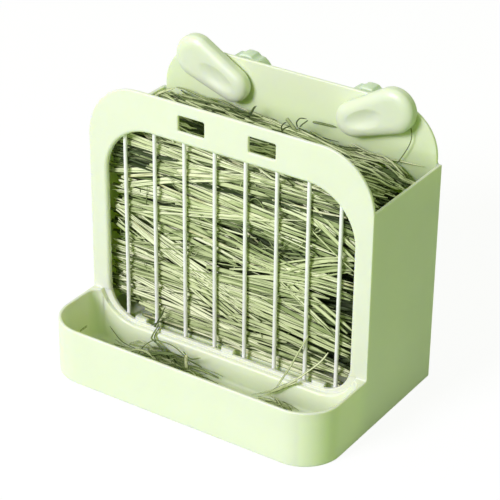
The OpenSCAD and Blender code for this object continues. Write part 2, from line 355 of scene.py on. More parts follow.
# The part of a lane that a stalk leaves free on each side
LANE_MARGIN = 0.08
# The darkest tones are painted shade for stalks deep in the hay. The others are the stalks' own tones
HAY_TONES_AND_SHADE = [
    (0.00, (0.028, 0.052, 0.010)),
    (0.20, (0.125, 0.180, 0.048)),
    (0.42, (0.355, 0.430, 0.175)),
    (0.66, (0.640, 0.710, 0.365)),
    (0.90, (0.880, 0.920, 0.590)),
    (1.00, (0.560, 0.560, 0.250)),
]
# What the ribs' streaks and a stalk's edges take away from its tone: the streaks are partly the stalk's own
# colour and partly painted shade in its grooves, and the dark edges are painted shade between neighbouring
# stalks
HAY_STREAKS_AND_EDGE_SHADE = [(0.14, (0.04, 0.06, 0.02)), (0.35, (0.45, 0.50, 0.36)), (0.48, WHITE)]


def dried_grass(name):
    """Hay: each lane of the map has its own tone, with ribs and streaks along the stalk and painted shade at
    its edges.
    """
    g = Graph(name)
    uv = g.add("ShaderNodeUVMap", uv_map=HAY_MAP).outputs["UV"]
    split = g.add("ShaderNodeSeparateXYZ", {"Vector": uv})
    along = split.outputs["X"]
    across = g.math("MULTIPLY", split.outputs["Y"], float(HAY_LANES))
    lane = g.math("FLOOR", across)
    tone = g.math("DIVIDE", lane, float(HAY_LANES - 1))
    at = {"X": g.math("MULTIPLY", along, 5.0), "Y": across, "Z": lane}
    blotches = g.noise(g.add("ShaderNodeCombineXYZ", at).outputs[0], 1.3, 3, 0.6)
    at = {"X": g.math("MULTIPLY", along, 4.0), "Y": g.math("MULTIPLY", across, 5.0), "Z": lane}
    ribs = g.noise(g.add("ShaderNodeCombineXYZ", at).outputs[0], 1, 2, 0.55)
    mixed = g.math("ADD", g.math("MULTIPLY", tone, 0.9), g.spread(blotches, -0.10, 0.20))
    # Painted shade: the tone darkens towards a stalk's edges, where stalks shade each other
    inner = g.math("FRACT", across)
    edge = g.math("SUBTRACT", 0.5, g.math("ABSOLUTE", g.math("SUBTRACT", inner, 0.5)))
    edge = g.math("MULTIPLY", g.math("SUBTRACT", edge, 0.10), 7.0)
    ribs = g.math("MULTIPLY", ribs, g.spread(edge, 0.18, 1.0))
    streak_and_edge_shade = g.ramp(ribs, HAY_STREAKS_AND_EDGE_SHADE)
    blend = g.add("ShaderNodeMix", data_type="RGBA", blend_type="MULTIPLY")
    blend.inputs["Factor"].default_value = 1.0
    g.put(blend.inputs[6], g.ramp(mixed, HAY_TONES_AND_SHADE))
    g.put(blend.inputs[7], streak_and_edge_shade)
    g.shade(Base_Color=blend.outputs[2], Roughness=0.62, Specular_IOR_Level=0.35)
    g.bump(ribs, 0.5, 0.0002)
    return g.material


def piece(name, points, faces, material, body, slot, *nodes):
    """A new piece from points in millimetres, which rides on a body and stands for CAD nodes."""
    mesh = bpy.data.meshes.new(name)
    mesh.from_pydata((np.asarray(points) * MM).tolist(), [], faces)
    mesh.shade_smooth()
    return place_piece(name, mesh, material, body, slot, *nodes)


def place_piece(name, mesh, material, body, slot, *nodes):
    mesh.materials.clear()
    mesh.materials.append(material)
    made = bpy.data.objects.new(name, mesh)
    bpy.context.scene.collection.objects.link(made)
    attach(made, body)
    if nodes:
        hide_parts(*nodes)
    return made


def ring_faces(rings, count, first=0, flip=False):
    """Quads between rings of points, each of count points in a closed loop."""
    faces = []
    for k in range(rings - 1):
        for j in range(count):
            a, b = first + k * count + j, first + k * count + (j + 1) % count
            quad = (a, b, b + count, a + count)
            faces.append(quad[::-1] if flip else quad)
    return faces


def cap(count, first, flip=False):
    loop = tuple(range(first, first + count))
    return loop[::-1] if flip else loop


def strips(count, first, flip=False):
    """Strips across a ring of points, whose second half mirrors its first one."""
    faces = []
    for k in range(count // 2):
        corners = (k, k + 1, (count - k - 1) % count, (count - k) % count)
        strip = tuple(dict.fromkeys(first + corner for corner in corners))
        faces.append(strip[::-1] if flip else strip)
    return faces


def quarter(steps):
    """Cosine and sine of turns from 0 to a right angle."""
    return [(math.cos(math.pi / 2 * k / steps), math.sin(math.pi / 2 * k / steps)) for k in range(steps + 1)]


def edge_round(place, convex):
    """The radius with which the moulding's edge at a place is rounded."""
    x, y, z = place
    on_bead = convex and abs(y - BEAD_Y) < NEAR and SILL_Z - NEAR < z < RIM_Z - NEAR
    if on_bead:
        return float(np.interp(z, BEAD_FADE_Z, (BEAD_ROUND, BEAD_END_ROUND)))
    if z < NEAR:
        return BASE_ROUND
    behind_bead = BEAD_Y - NEAR < y < LIP_BACK_Y and z < RIM_Z - 1
    if behind_bead and not convex:
        return SILL_CORNER_ROUND
    across_window = abs(x) < WINDOW_HALF + WINDOW_MARGIN
    if y < NEAR and across_window and RIM_Z + NEAR < z < WINDOW_TOP_Z + WINDOW_MARGIN:
        return WINDOW_ROUND
    if TABS_Y[0] < y < TABS_Y[1] and (z < TABS_TOP_Z or HOOKS_Z[0] < z < HOOKS_Z[1]):
        return TAB_ROUND
    if y < NEAR and abs(z - RIM_Z) < NEAR:
        return RIM_ROUND
    front, back, side = WALLS_INSIDE
    if z > SIDE_TOP_Z - NEAR and (y < front or y > back or abs(x) > side):
        return RIM_ROUND
    return EDGE_ROUND


def split_faces(shape, axis, near, play, behind=None):
    """Cuts the faces across an axis, as far as it can from any corner, and returns the new edges."""
    faces = shape.faces[:]
    if behind:
        faces = [f for f in faces if all(v.co.y > behind * MM for v in f.verts)]
    edges = {e for f in faces for e in f.edges}
    verts = {v for f in faces for v in f.verts}
    places = np.array([v.co[axis] for v in verts]) / MM
    tries = np.linspace(near - play, near + play, CUT_TRIES)
    cut_at = max(tries, key=lambda at: np.abs(places - at).min())
    normal = Vector([float(k == axis) for k in range(3)])
    geometry = list(verts) + list(edges) + faces
    place = normal * float(cut_at) * MM
    cut = bmesh.ops.bisect_plane(shape, geom=geometry, dist=CUT_WITHIN * MM, plane_co=place, plane_no=normal)
    return [e for e in cut["geom_cut"] if isinstance(e, bmesh.types.BMEdge)]


def feeder_body(material):
    """The moulding: the frame's own shape, with its edges rounded as a mould leaves them."""
    shape = bmesh.new()
    shape.from_mesh(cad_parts["feeder_body"].data)
    bmesh.ops.remove_doubles(shape, verts=shape.verts, dist=JOIN_WITHIN * MM)
    # Where the front panel's curve begins, a step of 0.2 mm would spoil the rounded edge
    for vert in shape.verts:
        x, y, z = vert.co / MM
        if STEP_X[0] < abs(x) < STEP_X[1] and y < WALL + NEAR and abs(z - SIDE_TOP_Z) < STEP_Z_PLAY:
            vert.co.x = math.copysign(HALF_WIDTH * MM, x)
    bmesh.ops.remove_doubles(shape, verts=shape.verts, dist=JOIN_WITHIN * MM)
    seams = shape.edges.layers.int.new("seam")
    screw_z = middle("clamp_screw_right")[2]
    for cut in FACE_CUTS + [(2, screw_z, SCREW_CUT_PLAY, SCREW_CUT_BEHIND)]:
        for edge in split_faces(shape, *cut):
            edge[seams] = 1
    loose = [e for e in shape.edges if not e[seams]]
    bmesh.ops.dissolve_limit(shape, angle_limit=math.radians(FLAT_ANGLE), verts=shape.verts, edges=loose)
    weight = shape.edges.layers.float.new("bevel_weight_edge")
    for edge in shape.edges:
        if edge.calc_face_angle(0) > math.radians(SHARP_ANGLE):
            place = (edge.verts[0].co + edge.verts[1].co) / 2 / MM
            edge[weight] = edge_round(place, edge.is_convex) / WINDOW_ROUND
    mesh = bpy.data.meshes.new("feeder_box")
    shape.to_mesh(mesh)
    shape.free()
    mesh.shade_smooth()
    made = place_piece("feeder_box", mesh, material, "box", "body_plastic", "feeder_body")
    bevel = made.modifiers.new("rounded_edges", "BEVEL")
    bevel.limit_method = "WEIGHT"
    bevel.width = WINDOW_ROUND * MM
    bevel.segments = ROUND_SEGMENTS
    bevel.use_clamp_overlap = False
    bevel.miter_outer = "MITER_ARC"
    normals = made.modifiers.new("flat_faces", "WEIGHTED_NORMAL")
    normals.weight = FLAT_FACE_WEIGHT
    return made


def ear_ring(inset, depth):
    """Points of an ear's outline drawn in by inset, as along, across and depth from its back."""
    # Past the shoulder, both ends shrink to nothing together
    kept = 1 - max(inset - EAR_SHOULDER, 0) / (EAR_WIDTH / 2 - EAR_SHOULDER)
    drawn_in = min(inset, EAR_SHOULDER)
    outer = (EAR_WIDTH / 2 - drawn_in) * kept
    inner = (EAR_INNER_WIDTH / 2 - drawn_in) * kept
    outer_at, inner_at = (EAR_LENGTH - EAR_WIDTH) / 2, (EAR_INNER_WIDTH - EAR_LENGTH) / 2
    facing = math.acos((EAR_INNER_WIDTH - EAR_WIDTH) / 2 / (outer_at - inner_at))
    on_outer, on_side, on_inner = EAR_STEPS
    turns = np.linspace(0, facing, on_outer)
    large = np.stack([outer_at + outer * np.cos(turns), outer * np.sin(turns)], 1)
    turns = np.linspace(facing, math.pi, on_inner)
    small = np.stack([inner_at + inner * np.cos(turns), inner * np.sin(turns)], 1)
    share = np.linspace(0, 1, on_side + 2)[1:-1, None]
    upper = np.concatenate([large, large[-1] * (1 - share) + small[0] * share, small])
    lower = upper[-2:0:-1] * (1, -1)
    outline = np.concatenate([upper, lower])
    return np.column_stack([outline, np.full(len(outline), depth)])


def smooth_step(low, high, value):
    share = np.clip((value - low) / (high - low), 0, 1)
    return share * share * (3 - 2 * share)


def ear_points(thickness):
    """Rings of an ear from the middle of its flat back, round its side and over its front."""
    insets = [(inset, 0) for inset in EAR_BACK_RINGS]
    insets += [(EAR_BACK_INSET * (1 - b), EAR_WIDEST * (1 - a)) for a, b in quarter(EAR_BACK_STEPS)]
    insets += [(0, EAR_WIDEST + EAR_SIDE_HOLD), (0, EAR_SIDE - EAR_SIDE_HOLD)]
    rise = thickness - EAR_SIDE
    insets += [(EAR_SHOULDER * (1 - a), EAR_SIDE + rise * b) for a, b in quarter(EAR_SHOULDER_STEPS)]
    front = EAR_WIDTH / 2 - EAR_SHOULDER
    shares = np.linspace(*EAR_FRONT_SHARES, EAR_FRONT_RINGS)
    insets += [(EAR_SHOULDER + front * share, thickness) for share in shares]
    rings = np.concatenate([ear_ring(inset, depth) for inset, depth in insets])
    along = (rings[:, 0] - DISH_AT[0]) / DISH_SIZE[0]
    across = (rings[:, 1] - DISH_AT[1]) / DISH_SIZE[1]
    reach = np.hypot(along, across)
    # The dish's upper edge is crisper than its lower one, which fades into the ear
    fade = np.interp(smooth_step(*DISH_FADE_ACROSS, across), (0, 1), DISH_FADE)
    hollow = DISH_DEPTH * np.clip(1 - reach**2, 0, 1) ** fade
    rings[:, 2] -= hollow * (rings[:, 2] > EAR_WIDEST)
    return rings, len(insets)


def ear(side, name, material):
    """One ear: a soft pad, wider at its outer end and with a dished oval, on a round hub."""
    knob = f"ear_knob_{name}"
    axis = middle(f"clamp_screw_{name}")
    low, high = box_mm(knob)
    back_y = high[1] - HUB_LENGTH
    rings, ring_count = ear_points(back_y - low[1])
    tilt = math.radians(EAR_TILT)
    along = rings[:, 0] + EAR_LENGTH / 2 - EAR_ROOT
    across = rings[:, 1] + EAR_LOW
    x = along * math.cos(tilt) - across * math.sin(tilt)
    z = along * math.sin(tilt) + across * math.cos(tilt)
    points = np.stack([axis[0] + side * x, back_y - rings[:, 2], axis[2] + z], 1)
    count = len(points) // ring_count
    faces = ring_faces(ring_count, count, flip=side < 0)
    faces += strips(count, 0, side > 0)
    faces += strips(count, (ring_count - 1) * count, side < 0)
    hub = [(TIP_RADIUS, -HUB_SUNK), (HUB_RADIUS, -HUB_SUNK), (HUB_RADIUS, HUB_LENGTH - HUB_CHAMFER)]
    hub += [(HUB_RADIUS - HUB_CHAMFER, HUB_LENGTH), (HUB_BORE, HUB_LENGTH), (HUB_BORE, HUB_FLOOR - HUB_SUNK)]
    hub_points, hub_faces = lathe_y(hub, HUB_SIDES)
    faces += [tuple(len(points) + k for k in face) for face in hub_faces]
    points = np.concatenate([points, hub_points + (axis[0], back_y, axis[2])])
    return piece(f"ear_{name}", points, faces, material, f"ear_{name}", "ear_plastic", knob)


def lathe_y(profile, count):
    """Points and faces of a profile of (radius, y) turned about the Y axis, with its ends closed."""
    points = []
    for r, y in profile:
        for j in range(count):
            turn = 2 * math.pi * j / count
            points.append((r * math.cos(turn), y, r * math.sin(turn)))
    faces = ring_faces(len(profile), count, flip=True)
    faces.append(cap(count, 0, True))
    faces.append(cap(count, (len(profile) - 1) * count))
    return np.array(points), faces


def flute_edge(turn, radius):
    """The fluted rim's radius in one direction."""
    step = 2 * math.pi / FLUTES
    off = turn % step - step / 2
    centre = radius + FLUTE_RADIUS - FLUTE_DEPTH
    reach = FLUTE_RADIUS**2 - (centre * math.sin(off)) ** 2
    if reach <= 0:
        return radius
    edge = centre * math.cos(off) - math.sqrt(reach)
    if edge >= radius + FLUTE_REACH:
        return radius
    blend = math.exp(-FLUTE_SHARPNESS * edge) + math.exp(-FLUTE_SHARPNESS * radius)
    return -math.log(blend) / FLUTE_SHARPNESS


def clamp_disc(name, material):
    """A clamp disc: a fluted wheel with rounded edges, a shallow groove on each face and a sleeve."""
    node = f"clamp_disc_{name}"
    low, high = box_mm(node)
    centre = (low + high) / 2
    radius = (high[0] - low[0]) / 2
    length = high[1] - low[1]
    profile = [(DISC_BORE, 0)] + FRONT_GROOVE
    for a, b in quarter(DISC_ROUND_STEPS):
        profile.append((radius - DISC_ROUND * (1 - b), DISC_ROUND * (1 - a)))
    for a, b in quarter(DISC_ROUND_STEPS):
        profile.append((radius - DISC_ROUND * (1 - a), DISC_THICK - DISC_ROUND * (1 - b)))
    profile += [(r, DISC_THICK - depth) for r, depth in BACK_GROOVE]
    profile += [(SLEEVE_RADIUS, DISC_THICK + SLEEVE_CHAMFER), (SLEEVE_RADIUS, length - SLEEVE_CHAMFER)]
    profile += [(SLEEVE_RADIUS - SLEEVE_CHAMFER, length), (DISC_BORE, length)]
    count = FLUTES * FLUTE_STEPS
    turns = [2 * math.pi * j / count for j in range(count)]
    rim = [flute_edge(turn, radius) for turn in turns]
    points = []
    for r, y in profile:
        for turn, edge in zip(turns, rim):
            fluted = min(r, edge - (radius - r)) if r > radius - FLUTE_REACH else r
            points.append((fluted * math.cos(turn), y, fluted * math.sin(turn)))
    faces = ring_faces(len(profile), count, flip=True)
    # The bore joins the last ring to the first one
    last = (len(profile) - 1) * count
    for j in range(count):
        k = (j + 1) % count
        faces.append((k, j, last + j, last + k))
    points = np.array(points) + (centre[0], low[1], centre[2])
    return piece(f"clamp_wheel_{name}", points, faces, material, f"clamp_{name}", "clamp_plastic", node)


def clamp_screw(name, material):
    """A coarse plastic screw with a six sided head."""
    node = f"clamp_screw_{name}"
    low, high = box_mm(node)
    axis = middle(node)
    start, end = low[1] + HEAD_THICK, high[1]
    rows = int((end - start) * THREAD_STEPS / THREAD_PITCH) + 1
    points = []
    for y in np.linspace(start, end, rows):
        shown = np.clip((end - y) / THREAD_RUN_OUT, 0, 1)
        shown *= np.clip((y - THREAD_START_Y) / THREAD_RUN_IN, 0, 1)
        tip = SCREW_CHAMFER * np.clip(1 - (end - y) / SCREW_CHAMFER, 0, 1)
        for j in range(SCREW_SIDES):
            phase = (y / THREAD_PITCH - j / SCREW_SIDES) % 1
            crest = np.clip(THREAD_CREST - abs(phase - 0.5) * THREAD_FLANK, 0, 1)
            r = SCREW_RADIUS - THREAD_DEPTH * (1 - crest * shown) - tip
            turn = 2 * math.pi * j / SCREW_SIDES
            points.append((r * math.cos(turn), y, r * math.sin(turn)))
    faces = ring_faces(rows, SCREW_SIDES, flip=True)
    faces += [cap(SCREW_SIDES, 0, True), cap(SCREW_SIDES, (rows - 1) * SCREW_SIDES)]
    head = [(HEAD_RADIUS - HEAD_CHAMFER, low[1]), (HEAD_RADIUS, low[1] + HEAD_CHAMFER)]
    head += [(HEAD_RADIUS, start - HEAD_CHAMFER), (HEAD_RADIUS - HEAD_CHAMFER, start)]
    head_points, head_faces = lathe_y(head, HEAD_SIDES)
    faces += [tuple(len(points) + k for k in face) for face in head_faces]
    points = np.concatenate([points, head_points]) + (axis[0], 0, axis[2])
    return piece(f"screw_{name}", points, faces, material, f"ear_{name}", "clamp_plastic", node)


def tube(path, radii, count):
    """Points and faces of a round bar along a path, with its ends closed."""
    path = np.asarray(path, float)
    ahead = np.gradient(path, axis=0)
    ahead /= np.linalg.norm(ahead, axis=1)[:, None]
    side = np.cross(ahead, (0.0, 1.0, 0.0))
    side /= np.linalg.norm(side, axis=1)[:, None]
    over = np.cross(side, ahead)
    turn = 2 * math.pi * np.arange(count) / count
    ring = np.cos(turn)[:, None] * side[:, None, :] + np.sin(turn)[:, None] * over[:, None, :]
    points = (path[:, None, :] + np.asarray(radii)[:, None, None] * ring).reshape(-1, 3)
    faces = ring_faces(len(path), count)
    faces += [cap(count, 0, True), cap(count, (len(path) - 1) * count)]
    return points, faces


def bar(node, material, along, crossings, seed):
    """A wire of the grille: almost straight, with domed ends and a swelling at each weld."""
    low, high = box_mm(node)
    radius = (high[1] - low[1]) / 2
    length = high[along] - low[along]
    welds = [crossing - low[along] for crossing in crossings]
    ends = [radius * (1 - math.cos(math.pi / 2 * k / WIRE_END_STEPS)) for k in range(WIRE_END_STEPS)]
    inner = list(np.linspace(radius, length - radius, WIRE_STEPS))
    near = [weld + step for weld in welds for step in WELD_STEPS]
    places = np.array(sorted(set(ends + inner + near + [length - end for end in ends])))
    edge = np.minimum(places, length - places)
    dome = np.sqrt(np.maximum(radius**2 - (radius - edge) ** 2, TIP_RADIUS**2))
    radii = np.where(edge < radius, dome, radius)
    for weld in welds:
        radii = radii + WELD_SWELL * np.exp(-(((places - weld) / WELD_SPREAD) ** 2)) * (edge > radius)
    rng = np.random.default_rng(seed)
    lean = rng.uniform(-WIRE_LEAN, WIRE_LEAN, 2)
    path = np.repeat(middle(node)[None, :], len(places), 0)
    path[:, along] = low[along] + places
    sway = np.sin(places / length * math.pi * rng.uniform(1.2, 2.4) + rng.uniform(0, 6))
    path[:, 1] += lean[0] * sway
    path[:, 2 - along] += lean[1] * sway
    points, faces = tube(path, radii, WIRE_SIDES)
    return piece(node.replace("grille", "bright"), points, faces, material, "box", "grille_wire", node)


def grille(material):
    rail_z = [middle(rail)[2] for rail in RAILS]
    wire_x = [middle(wire)[0] for wire in WIRES]
    for k, wire in enumerate(WIRES):
        bar(wire, material, 2, rail_z, WIRE_SEED + k)
    for k, rail in enumerate(RAILS):
        bar(rail, material, 0, wire_x, RAIL_SEED + k)


class Hay:
    """Stalks collected into one mesh. Each is a flattened tube along a path."""

    SIDES = 6

    def __init__(self, seed):
        self.rng = np.random.default_rng(seed)
        self.points, self.faces, self.uvs = [], [], []
        self.count = 0

    def stalk(self, path, width, thickness, facing, twist=0.0, fold=0.0, taper=(0.75, 0.45), tone=0.5):
        path = np.asarray(path, float)
        n, m = len(path), self.SIDES
        ahead = np.gradient(path, axis=0)
        ahead /= np.linalg.norm(ahead, axis=1)[:, None]
        side = np.cross(ahead, np.asarray(facing, float))
        side /= np.linalg.norm(side, axis=1)[:, None] + 1e-9
        front = np.cross(side, ahead)
        share = np.linspace(0, 1, n)
        turn = twist * (share - 0.5)
        across = np.cos(turn)[:, None] * side + np.sin(turn)[:, None] * front
        out = -np.sin(turn)[:, None] * side + np.cos(turn)[:, None] * front
        swell = np.minimum(1, taper[0] + share * 8) * np.minimum(1, taper[1] + (1 - share) * 4)
        ring = 2 * math.pi * np.arange(m) / m
        w = np.cos(ring)[None, :, None] * across[:, None, :] * width / 2
        t = np.sin(ring)[None, :, None] * out[:, None, :] * thickness / 2
        crease = (np.abs(np.cos(ring))[None, :, None] - 0.5) * out[:, None, :] * fold
        points = path[:, None, :] + swell[:, None, None] * (w + t + crease)
        first = self.count
        self.points.append(points.reshape(-1, 3))
        self.count += n * m
        self.faces += ring_faces(n, m, first)
        self.faces += [cap(m, first, True), cap(m, first + (n - 1) * m)]
        lane = int(np.clip(tone * HAY_LANES, 0, HAY_LANES - 1))
        across_lane = np.abs(2 * np.arange(m) / m - 1)
        level = (lane + LANE_MARGIN + (1 - 2 * LANE_MARGIN) * across_lane) / HAY_LANES
        self.uvs.append(np.stack([np.repeat(share, m), np.tile(level, n)], 1))

    def make(self, name, material):
        made = piece(name, np.concatenate(self.points), self.faces, material, "box", "body_plastic")
        mesh = made.data
        layer = mesh.uv_layers.new(name=HAY_MAP)
        corner = np.empty(len(mesh.loops), np.int32)
        mesh.loops.foreach_get("vertex_index", corner)
        layer.uv.foreach_set("vector", np.concatenate(self.uvs)[corner].astype(np.float32).ravel())
        return made


# Where the hay lies
HAY_LEFT, HAY_RIGHT = -96.8, 96.8
HAY_FRONT, HAY_BACK = 6.4, 75.4
HAY_FLOOR = 19.9
# Below and above these heights the grille's cross wires keep the hay further back
RAIL_LOW_Z, RAIL_HIGH_Z = 26, 153
RAIL_BACK_Y = 9.0
# A stalk that sticks out of the heap sinks as a whole by this share, and its rest is pressed flat
SINK_SHARE = 0.8
# The heap's height along the back panel
TOP_X = (-97, -77, -48, -8, 26, 45, 64, 97)
TOP_Z = (146, 149, 149.5, 145.5, 144, 143.5, 143, 140)
# The rise in the heap's middle: its height, the Y of its ridge and how wide it is
RISE, RISE_Y, RISE_WIDTH = 5, 38, 22
# The heap's height at the right end, from the front to the back, and where that end sets in
END_Y = (6, 30, 58, 75)
END_Z = (146, 144, 139, 130)
END_X = (66, 92)
# Sheets of stalks behind the grille: their distance from the front, how many and their tone. The deeper
# sheets are darker, painted shade in the gaps between the front stalks
WALL_LAYERS = [(30, 44, 0.0), (22, 50, 0.0), (14, 52, 0.08), (10, 42, 0.32), (7.2, 44, 0.68)]
WALL_Z = (22, 151)
# Sheets of stalks on the heap: their depth under its top, how many and their tone. The deeper sheets are
# darker, painted shade under the top stalks
HEAP_LAYERS = [(18, 40, 0.0), (11, 44, 0.02), (5, 36, 0.22), (0.5, 34, 0.57)]
# Stalks on the crest: a seed, how many, their ends in X and the pale ones' tones
CRESTS = [(83, 110, (42, 90), (0.74, 0.93)), (84, 190, (-88, 44), (0.40, 0.84))]
# Painted light: behind the front panel the heap lies in shade, and the crest's stalks there are painted
# paler to lift it. The lift ends between these Y
PAINTED_LIGHT_Y = (30, 42)
PAINTED_LIGHT_LIFT = 0.3
PALEST = 0.93
FILLING_STALKS = 430
# Piles in the trough: the middle and the spread in X and Y, how many stalks, their lengths, and the height
PILES = [((-36, -9), (12, 5), 46, (16, 44), 9), ((44, -7), (7, 2.5), 14, (8, 20), 3)]
TROUGH_Y = (-47, -4.5)
TROUGH_FLOOR = 3.0
TROUGH_HALF = 92
# Wisps just behind the grille
WISPS = 46
WISP_Y = 7.6


def hay_top(x, y):
    """Height of the heap: nearly level, and at its right end sinking towards the back."""
    back = np.interp(x, TOP_X, TOP_Z)
    rise = RISE * np.exp(-(((y - RISE_Y) / RISE_WIDTH) ** 2))
    end = np.interp(y, END_Y, END_Z)
    share = smooth_step(*END_X, x)
    return (back + rise) * (1 - share) + end * share


def kept_in(path, margin, top=True):
    """The path held inside the compartment, with stalks pressed along its walls."""
    path = path.copy()
    path[:, 0] = np.clip(path[:, 0], HAY_LEFT + margin, HAY_RIGHT - margin)
    by_rail = (path[:, 2] < RAIL_LOW_Z) | (path[:, 2] > RAIL_HIGH_Z)
    front = np.where(by_rail, RAIL_BACK_Y, HAY_FRONT) + margin / 2
    path[:, 1] = np.clip(path[:, 1], front, HAY_BACK - margin / 2)
    path[:, 2] = np.maximum(path[:, 2], HAY_FLOOR + margin / 2)
    if top:
        over = path[:, 2] - hay_top(path[:, 0], path[:, 1])
        path[:, 2] -= SINK_SHARE * max(over.max(), 0)
        path[:, 2] = np.minimum(path[:, 2], hay_top(path[:, 0], path[:, 1]))
        path[:, 2] = np.maximum(path[:, 2], HAY_FLOOR + margin / 2)
    return path


def trimmed(path, low, high, count):
    """The part of a path whose X lies between two ends, with its points spread evenly again."""
    inside = (path[:, 0] > low) & (path[:, 0] < high)
    if inside.sum() < 3:
        return None
    kept = path[inside]
    share = np.linspace(0, len(kept) - 1, count)
    return np.stack([np.interp(share, np.arange(len(kept)), kept[:, k]) for k in range(3)], 1)


def stalk_kind(rng, leafy):
    """Width, thickness and fold of a leaf, a stem or a wisp."""
    pick = rng.uniform()
    if pick < leafy:
        return rng.uniform(1.9, 3.6), rng.uniform(0.3, 0.55), rng.uniform(-0.3, 0.9)
    if pick < 0.84:
        width = rng.uniform(0.9, 1.8)
        return width, width * rng.uniform(0.5, 0.85), 0.0
    width = rng.uniform(0.45, 0.85)
    return width, width, 0.0


def unit(vector):
    vector = np.asarray(vector, float)
    return vector / np.linalg.norm(vector)


def bundle(hay, centre, heading, out, length, count, tone, leafy=0.34, fan=0.07, crossing=0.025):
    """A sheet of stalks that lie side by side, which fan out a little towards one end."""
    rng = hay.rng
    points = 11
    heading = unit(heading)
    out = unit(np.asarray(out, float) - np.dot(out, heading) * heading)
    across = np.cross(out, heading)
    kinds = [stalk_kind(rng, leafy) for _ in range(count)]
    edges = np.cumsum([0] + [k[0] * rng.uniform(0.8, 1.2) for k in kinds])
    offsets = (edges[1:] + edges[:-1]) / 2 - edges[-1] / 2
    arch = rng.normal(0, 2.2)
    lift = rng.normal(0, 0.9)
    open_end = rng.choice([-1, 1])
    left = HAY_LEFT + abs(rng.normal(0, 1.5))
    if rng.uniform() < 0.18:
        left += rng.uniform(5, 16)
    right = HAY_RIGHT - rng.uniform(0, 9)
    for (width, thickness, fold), offset in zip(kinds, offsets):
        reach = length * rng.uniform(0.7, 1.0)
        slide = rng.normal(0, length * 0.07)
        share = np.linspace(-0.5, 0.5, points)
        run = share * reach + slide
        lean = fan * offset / (edges[-1] / 2 + 0.1) * open_end + rng.normal(0, crossing)
        side = offset + lean * run + arch * (4 * share**2 - 0.4)
        side = side + 0.35 * np.sin(share * rng.uniform(3, 8) + rng.uniform(0, 6))
        depth = lift * (4 * share**2 - 0.4) + rng.uniform(-0.7, 0.7) + rng.normal(0, 0.25) * share
        path = run[:, None] * heading + side[:, None] * across + depth[:, None] * out + centre
        path = trimmed(path, left + rng.uniform(0, 4), right - rng.uniform(0, 3), points)
        if path is None:
            continue
        path = kept_in(path, width / 2)
        facing = out + rng.normal(0, 0.16) * across
        own_tone = min(tone + rng.normal(0, 0.13), 0.9)
        if rng.uniform() < 0.04:
            own_tone = 0.99
        hay.stalk(path, width, thickness, facing, rng.normal(0, 0.35), fold, tone=own_tone)


def hay_wall(material):
    """The hay seen through the grille: sheets of stalks that run across it, near level."""
    hay = Hay(11)
    rng = hay.rng
    # Deeper sheets get darker tones: painted shade
    for depth, sheets, tone_and_painted_shade in WALL_LAYERS:
        heights = np.linspace(*WALL_Z, sheets) + rng.normal(0, 2.0, sheets)
        for z in rng.permutation(heights):
            x = rng.uniform(-75, 75)
            tilt = rng.normal(-0.02, 0.10)
            if rng.uniform() < 0.14:
                tilt += rng.choice([-1, 1]) * rng.uniform(0.18, 0.42)
            heading = (math.cos(tilt), rng.normal(0, 0.025), math.sin(tilt))
            out = (rng.normal(0, 0.08), -1, rng.normal(0.15, 0.22))
            length = rng.uniform(60, 130)
            place = (x, depth + rng.uniform(-1, 2), z)
            bundle(hay, place, heading, out, length, rng.integers(3, 9), rng.normal(tone_and_painted_shade, 0.13))
    return hay.make("hay_front", material)


def hay_heap(material):
    """The top of the heap, seen over the front panel."""
    hay = Hay(23)
    rng = hay.rng
    # Deeper sheets get darker tones: painted shade
    for down, sheets, tone in HEAP_LAYERS:
        for _ in range(sheets):
            x, y = rng.uniform(-85, 88), rng.uniform(9, 73)
            yaw = rng.normal(0.02, 0.16)
            place = (x, y, hay_top(x, y) - down - rng.uniform(0, 3))
            heading = (math.cos(yaw), math.sin(yaw), rng.normal(-0.03, 0.03))
            out = (rng.normal(0, 0.15), rng.normal(-0.35, 0.3), 1)
            length = rng.uniform(60, 170)
            count = rng.integers(3, 7)
            own_tone = rng.normal(tone, 0.12)
            bundle(hay, place, heading, out, length, count, own_tone, leafy=0.22, fan=0.1, crossing=0.035)
    return hay.make("hay_heap", material)


def hay_middle(material):
    """Hay in the middle of the box, so that no light passes through the heap."""
    hay = Hay(31)
    rng = hay.rng
    for _ in range(FILLING_STALKS):
        width, thickness = rng.uniform(2.5, 5.5), rng.uniform(0.8, 1.8)
        place = (rng.uniform(-85, 85), rng.uniform(30, 73), rng.uniform(24, 124))
        angle, yaw = rng.normal(0, 0.14), rng.normal(0, 0.12)
        heading = unit((math.cos(yaw), math.sin(yaw), math.sin(angle)))
        run = np.linspace(-0.5, 0.5, 9) * rng.uniform(90, 185)
        path = run[:, None] * heading + place
        path[:, 2] += rng.normal(0, 2) * (run / 90) ** 2
        path = trimmed(path, HAY_LEFT, HAY_RIGHT, 9)
        if path is None:
            continue
        path = kept_in(path, width / 2)
        facing = (0, -1, rng.normal(0, 1))
        # Dark tones: painted shade for the hay deep in the box
        hay.stalk(path, width, thickness, facing, rng.normal(0, 0.6), tone=rng.uniform(0, 0.4))
    return hay.make("hay_middle", material)


def smooth_path(points, count=22):
    """A smooth curve through points, by Catmull and Rom's rule."""
    p = np.asarray(points, float)
    p = np.concatenate([[2 * p[0] - p[1]], p, [2 * p[-1] - p[-2]]])
    spans = len(p) - 3
    path = []
    for share in np.linspace(0, spans, count):
        k = min(int(share), spans - 1)
        t = share - k
        a, b, c, d = p[k:k + 4]
        square = 2 * a - 5 * b + 4 * c - d
        cube = 3 * b - a - 3 * c + d
        path.append((2 * b + (c - a) * t + square * t**2 + cube * t**3) / 2)
    return np.array(path)


def on_y(y, *places):
    """Points with one Y from places given as X and Z."""
    return [(x, y, z) for x, z in places]


